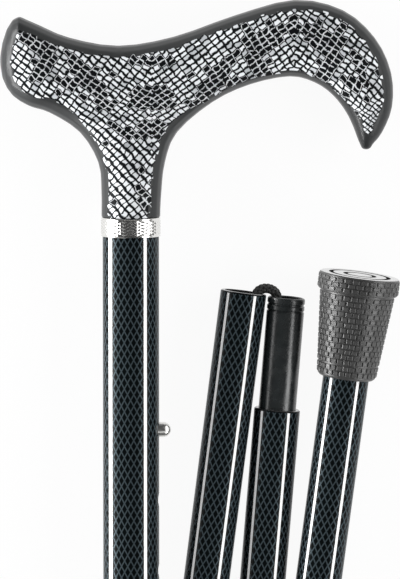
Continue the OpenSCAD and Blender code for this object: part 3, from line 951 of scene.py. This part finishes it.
flat = f.place(Matrix.Translation(-collar_foot))
sway = f.vector("SUBTRACT", f.noise(flat, scale=0.35, output="Color"), (0.5, 0.5, 0.5))
x, y, _ = f.split(f.vector("ADD", flat, f.scaled(sway, skin_sway)))
from_mirror = f.math("PINGPONG", f.math("SUBTRACT", x, mirror_at), tile_width)
left_x = f.math("MULTIPLY", from_mirror, -1.0)
by_mirror = f.ramp(from_mirror, *hub_fade, hub_reach, 0.0)
from_hub = f.math("DIVIDE", f.math("SUBTRACT", y, hub_at), hub_reach)
flatter = f.math("MULTIPLY", f.math("TANH", from_hub), by_mirror)
row_span = f.math("MULTIPLY_ADD", flatter, hub_flatness[0], slanted(y, row_slope))
column_span = f.math("MULTIPLY_ADD", flatter, hub_flatness[1], slanted(y, column_slope))
row_span = f.math("ADD", left_x, row_span)
column_span = f.math("SUBTRACT", left_x, column_span)
print("two sets of slanted lines wired")

# %% [markdown]
# ## Numbering the scales
#
# Lines are counted by their pitch.
# In the drooping nose they are drawn closer, because the scales are smaller there.
# The whole numbers of a row and a column name one scale, so every scale can get a colour of its own.
# What is left over says how far a point is from the nearest seam.

# %% Numbers of rows and columns
row_pitch, column_pitch = 3.5, 3.4
row_gap, column_gap = 2.05, 2.8
nose_side, nose_height = (74.0, 84.0), (44.0, 62.0)
nose_finer, nose_row, nose_column = 0.42, -5.3, -9.1
in_nose = f.math("MULTIPLY", f.ramp(x, *nose_side), f.ramp(y, *nose_height, 1.0, 0.0))
finer = f.math("MULTIPLY_ADD", in_nose, nose_finer, 1.0)


def numbered(span, pitch, nose_number):
    """Number of a line, with the lines drawn closer round the one that passes through the nose."""
    number = f.math("SUBTRACT", f.math("DIVIDE", span, pitch), nose_number)
    return f.math("MULTIPLY_ADD", number, finer, nose_number)


rows = numbered(row_span, row_pitch, nose_row)
columns = numbered(column_span, column_pitch, nose_column)
row, column = f.math("FLOOR", rows), f.math("FLOOR", columns)
to_row = f.math("MULTIPLY", f.math("PINGPONG", rows, 0.5), row_gap)
to_column = f.math("MULTIPLY", f.math("PINGPONG", columns, 0.5), column_gap)
print(f"scales of about {row_pitch} by {column_pitch} mm")

# %% [markdown]
# ## Dark patches
#
# Snakeskin has dark saddles. On this print they sit on the mirror line and across both arms.
# We could leave them to noise alone, but their places make the print recognisable,
# so each is drawn as a soft oval. The ovals are asked once for each scale, at its middle,
# so a scale is either dark or light as a whole.

# %% Ovals for the saddles
saddles = [
    # from the mirror line, height, half length, half width, tilt in degrees
    (35.5, 70.0, 9.0, 1.7, 110),
    (41.0, 74.0, 6.0, 3.8, 25),
    (42.0, 62.0, 4.0, 1.7, 125),
    (52.5, 77.0, 5.0, 2.2, 110),
    (23.0, 61.0, 9.5, 2.6, 52),
    (30.0, 59.0, 3.2, 2.2, 0),
    (17.0, 51.5, 3.5, 2.2, 0),
    (1.5, 69.0, 4.5, 1.3, 0),
    (0.5, 53.8, 6.0, 4.4, 0),
    (-0.8, 40.0, 4.5, 3.8, 0),
    (9.2, 39.0, 4.5, 1.2, 37),
    (2.7, 13.5, 4.5, 2.2, 40),
]
saddle_edge = 0.75, 1.5
row_middle = f.math("MULTIPLY", f.math("ADD", row, 0.5), row_pitch)
column_middle = f.math("MULTIPLY", f.math("ADD", column, 0.5), column_pitch)
climb = f.math("DIVIDE", f.math("SUBTRACT", row_middle, column_middle), sum(row_slope))
scale_y = f.math("ADD", climb, bend_at)
scale_x = f.math("SUBTRACT", slanted(scale_y, row_slope), row_middle)


def saddle(middle_x, middle_y, long_half, wide_half, tilt):
    """1 in an oval patch, fading to 0 round it."""
    turn = math.radians(tilt)
    dx, dy = f.math("SUBTRACT", scale_x, middle_x), f.math("SUBTRACT", scale_y, middle_y)
    along = f.math("MULTIPLY_ADD", dx, math.cos(turn), f.math("MULTIPLY", dy, math.sin(turn)))
    across = f.math("MULTIPLY_ADD", dy, math.cos(turn), f.math("MULTIPLY", dx, -math.sin(turn)))
    oval = f.join(f.math("DIVIDE", along, long_half), f.math("DIVIDE", across, wide_half), 0.0)
    return f.ramp(f.length(oval), *saddle_edge, 1.0, 0.0)


darkness = saddle(*saddles[0])
for sizes in saddles[1:]:
    darkness = f.math("MAXIMUM", darkness, saddle(*sizes))
print(f"{len(saddles)} dark saddles placed")

# %% [markdown]
# ## Chance
#
# A saddle's border isn't sharp: some scales at its edge are dark and some are light.
# Each scale draws three numbers from its own name:
# one for this, one for its tone and one for the print's ragged edge.

# %% Which scales are dark
light_tip = 89.0, 93.0
chance_share, dark_from = 0.57, 0.54
darkness = f.math("MULTIPLY", darkness, f.ramp(x, *light_tip, 1.0, 0.0))
name_of_scale = {"Vector": f.join(row, column, 0.0)}
chances = f.node("ShaderNodeTexWhiteNoise", name_of_scale, noise_dimensions="2D").outputs["Color"]
chance_dark, chance_tone, chance_edge = f.split(chances)
is_dark = f.math("GREATER_THAN", f.math("MULTIPLY_ADD", chance_dark, chance_share, darkness), dark_from)
print("every scale is dark or light")

# %% [markdown]
# ## Seams and ink
#
# Light scales lie in dark seams, and dark scales in thin white ones, which break off here and there.
# Whiteness says which ink a point gets. Neither ink is even: the tone differs from scale to scale.

# %% Two inks
row_seam, column_seam = (0.28, 0.58), (0.2, 0.5)
white_seam, seam_rounding = (0.1, 0.32), 0.3
light_face = f.math("MULTIPLY", f.ramp(to_row, *row_seam), f.ramp(to_column, *column_seam))
broken = f.ramp(f.noise(flat, scale=0.9), 0.34, 0.44, to_low=0.0, to_high=0.85)
to_seam = f.math("SMOOTH_MIN", to_row, to_column, seam_rounding)
white_line = f.math("MULTIPLY", f.ramp(to_seam, *white_seam, 1.0, 0.0), broken)
whiteness = f.math(
    "ADD",
    f.math("MULTIPLY", is_dark, white_line),
    f.math("MULTIPLY", f.math("SUBTRACT", 1.0, is_dark), light_face),
)
cloud = f.noise(flat, scale=0.07, detail=1.0)
tone = f.math("ADD", f.math("MULTIPLY", chance_tone, 0.6), f.math("MULTIPLY", cloud, 0.8))
dull_white, full_white = grey(0.4, (0.96, 1.0, 1.05)), grey(0.76, (0.97, 1.0, 1.03))
ink_white = f.mix(f.ramp(tone, 0.3, 0.75), dull_white, full_white)
ink_black = f.mix(cloud, grey(0.003, (0.9, 1.0, 1.1)), grey(0.006, (0.85, 1.0, 1.15)))
print("white and black ink mixed")

# %% [markdown]
# ## The handle's finish
#
# Near the print's edge whole scales drop out, because the real print ends in a ragged line.
# Outside it the soft-touch moulding shows, dark grey and a little glossier than the ink.

# %% Ink on the moulding
ragged, ink_edge = 1.2, (0.5, 0.62)
edge = f.math("MULTIPLY_ADD", chance_edge, ragged, f.attribute("print_edge"))
printed = f.ramp(edge, *ink_edge)
moulding_dark, moulding_light = grey(0.022, (0.93, 1.0, 1.04)), grey(0.03, (0.96, 1.0, 1.02))
moulding = f.mix(f.noise(f.place(), scale=0.15, detail=3.0), moulding_dark, moulding_light)
f.give(
    Base_Color=f.mix(printed, moulding, f.mix(whiteness, ink_black, ink_white)),
    Roughness=f.ramp(printed, 0.0, 1.0, to_low=0.34, to_high=0.45),
    Specular_IOR_Level=f.ramp(printed, 0.0, 1.0, to_low=0.25, to_high=0.06),
)
grain = f.math("MULTIPLY", f.noise(f.place(), scale=5.0), 0.2)
relief = f.math("MULTIPLY_ADD", f.math("MULTIPLY", printed, whiteness), 0.4, grain)
f.bump(relief, distance=0.04 * mm, strength=0.5)
dress(handle, skin_print)
print("handle printed")

# %% [markdown]
# ## The table
#
# The cane lies on a white table. Most of the table's white is its own colour as the camera sees it,
# so it stays even to the picture's edge. A share of plain paint keeps the cane's soft shadow.

# %% A white table
table_glow = 0.94
bpy.ops.mesh.primitive_plane_add(size=14.0)
table = bpy.context.object
table.name = "table"
paint = Finish("table_white", Roughness=0.8, Specular_IOR_Level=0.2)
paint.give(Base_Color=paint.mix(paint.noise(paint.place(), scale=0.02), grey(0.86), grey(0.88)))
glow = paint.node("ShaderNodeEmission", {"Color": grey(1.0), "Strength": 1.0}).outputs[0]
rays = paint.node("ShaderNodeLightPath").outputs
seen = paint.math("MAXIMUM", rays["Is Camera Ray"], rays["Is Glossy Ray"])
seen = paint.math("MULTIPLY", paint.math("MAXIMUM", seen, rays["Is Transmission Ray"]), table_glow)
both = paint.node("ShaderNodeMixShader", {0: seen, 1: paint.shader.outputs[0], 2: glow}).outputs[0]
paint.feed(paint.tree.nodes["Material Output"].inputs["Surface"], both)
dress(table, paint)
print("table laid")

# %% [markdown]
# ## The sky
#
# A bright sky would put a grey sheen on every dark tube, and the real tubes are black along the middle.
# So the sky is dim as light, dimmer still in reflections, and white only where the camera looks at it.

# %% A dim sky
sky_light, sky_in_gloss = 0.3, 0.06
world = bpy.data.worlds.new("studio")
scene.world = world
world.use_nodes = True
sky = Wiring(world.node_tree)
background = world.node_tree.nodes["Background"]
rays = sky.node("ShaderNodeLightPath").outputs
seen = sky.math("MAXIMUM", rays["Is Camera Ray"], rays["Is Transmission Ray"])
unseen = sky.math("MULTIPLY_ADD", rays["Is Glossy Ray"], sky_in_gloss - sky_light, sky_light)
background.inputs["Color"].default_value = grey(1.0)
sky.feed(background.inputs["Strength"], sky.math("MAXIMUM", seen, unseen))
print("sky dimmed")

# %% [markdown]
# ## Lamps
#
# A strong low strip shines from the left, so that each tube shades the next one, with a weak panel above it.
# A tall panel lights the right sides, and a faint one in front fills what faces it.
# A lamp overhead would put a bright line along the middle of every tube, so there is none.


# %% A strip and three panels
def soft_box(name, place, target, size, power):
    lamp = bpy.data.lights.new(name, "AREA")
    lamp.shape = "RECTANGLE"
    lamp.size, lamp.size_y = size
    lamp.energy = power
    holder = bpy.data.objects.new(name, lamp)
    scene.collection.objects.link(holder)
    holder.location = place
    holder.rotation_euler = (Vector(target) - Vector(place)).to_track_quat("-Z", "Y").to_euler()


soft_box("left_strip", place=(-0.9, 0, 0.135), target=(0, 0, 0.135), size=(2.0, 0.17), power=27.0)
soft_box("left_panel", place=(-0.9, 0, 0.36), target=(0, 0, 0.36), size=(2.0, 0.28), power=4.0)
soft_box("right_panel", place=(0.9, 0, 0.57), target=(0, 0, 0.57), size=(2.0, 0.66), power=18.0)
soft_box("front_panel", place=(0, -0.9, 1.3), target=(0, 0, 0), size=(1.6, 0.4), power=2.4)
print("a strip and three panels")

# %% [markdown]
# ## Camera
#
# The view is from almost straight above, a few degrees from the handle's end, through a long lens.
# The picture's scale is known: so many pixels to a millimetre, and the collar's foot at a known pixel.

# %% Camera
picture_width, picture_height = 400, 579
pixels_per_mm = 2.56
collar_pixel = (130.9, 236.0)
camera_tilt = math.radians(5.0)
camera_distance = 1.7
sensor = 36.0
right = (picture_width / 2 - collar_pixel[0]) / pixels_per_mm * mm
down = (picture_height / 2 - collar_pixel[1]) / pixels_per_mm * mm
target = collar_foot + Vector((right, -down / math.cos(camera_tilt), 0))
camera_data = bpy.data.cameras.new("camera")
camera_data.sensor_width = sensor
camera_data.lens = sensor * camera_distance / (picture_height / pixels_per_mm * mm)
camera_data.clip_end = 100
camera = bpy.data.objects.new("camera", camera_data)
scene.collection.objects.link(camera)
camera.rotation_euler = (-camera_tilt, 0, 0)
camera.location = target + Vector((0, math.sin(camera_tilt), math.cos(camera_tilt))) * camera_distance
scene.camera = camera
scene.view_settings.view_transform = "Standard"
print(f"lens {camera_data.lens:.0f} mm at {camera_distance} m")
